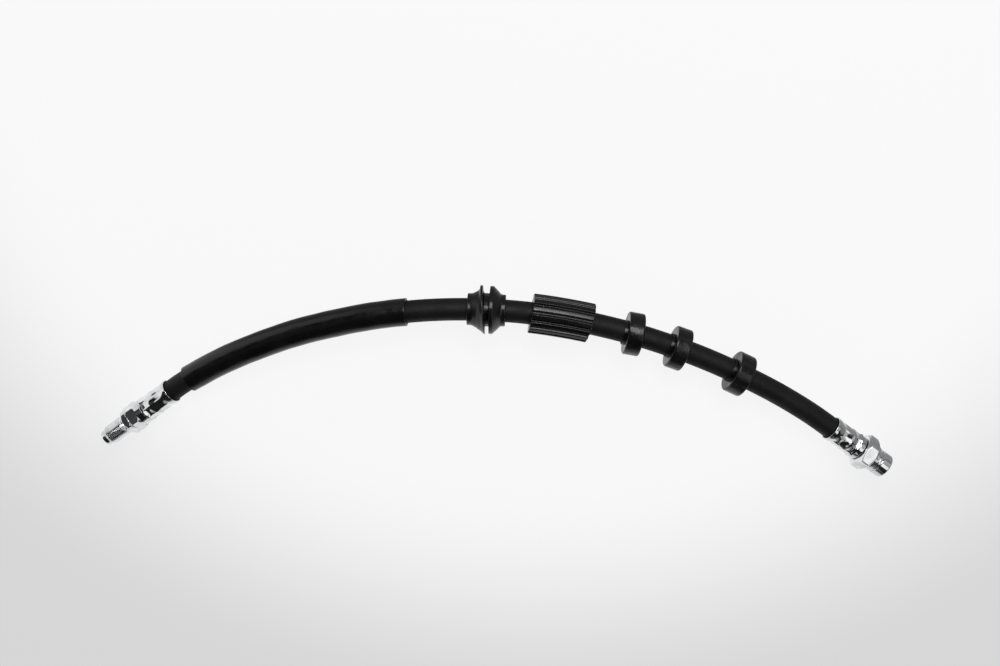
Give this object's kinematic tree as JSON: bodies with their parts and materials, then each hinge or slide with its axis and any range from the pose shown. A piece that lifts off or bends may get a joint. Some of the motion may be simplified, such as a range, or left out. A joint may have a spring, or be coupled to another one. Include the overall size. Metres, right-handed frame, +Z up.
{
  "type": "brake hose",
  "caption": "Rubber brake hose with a crimped male union, a crimped female union, protective sleeve, bracket grommet, ribbed sleeve and stop rings",
  "frame": {"origin": "on the floor under the middle of the bounding box", "axes": "+X from the male end to the female end, +Y towards the bow's outer side, +Z up"},
  "size_m": [0.4016, 0.0976, 0.0239],
  "materials": {
    "liner": "matte inner tube",
    "braid": "woven yarn",
    "hose_rubber": "satin extruded rubber",
    "sleeve_rubber": "semi-gloss rubber",
    "moulded_rubber": "moulded rubber with a soft sheen",
    "zinc_steel": "bright zinc plate on turned and crimped steel"
  },
  "bodies": {
    "root": {"hose_liner": "liner", "hose_braid": "braid", "hose_cover": "hose_rubber", "protective_sleeve": "sleeve_rubber", "grommet": "moulded_rubber", "ribbed_sleeve": "sleeve_rubber", "stop_ring_1": "moulded_rubber", "stop_ring_2": "moulded_rubber", "stop_ring_3": "moulded_rubber", "male_ferrule": "zinc_steel", "male_union": "zinc_steel", "female_ferrule": "zinc_steel", "female_union": "zinc_steel"}
  },
  "joints": []
}
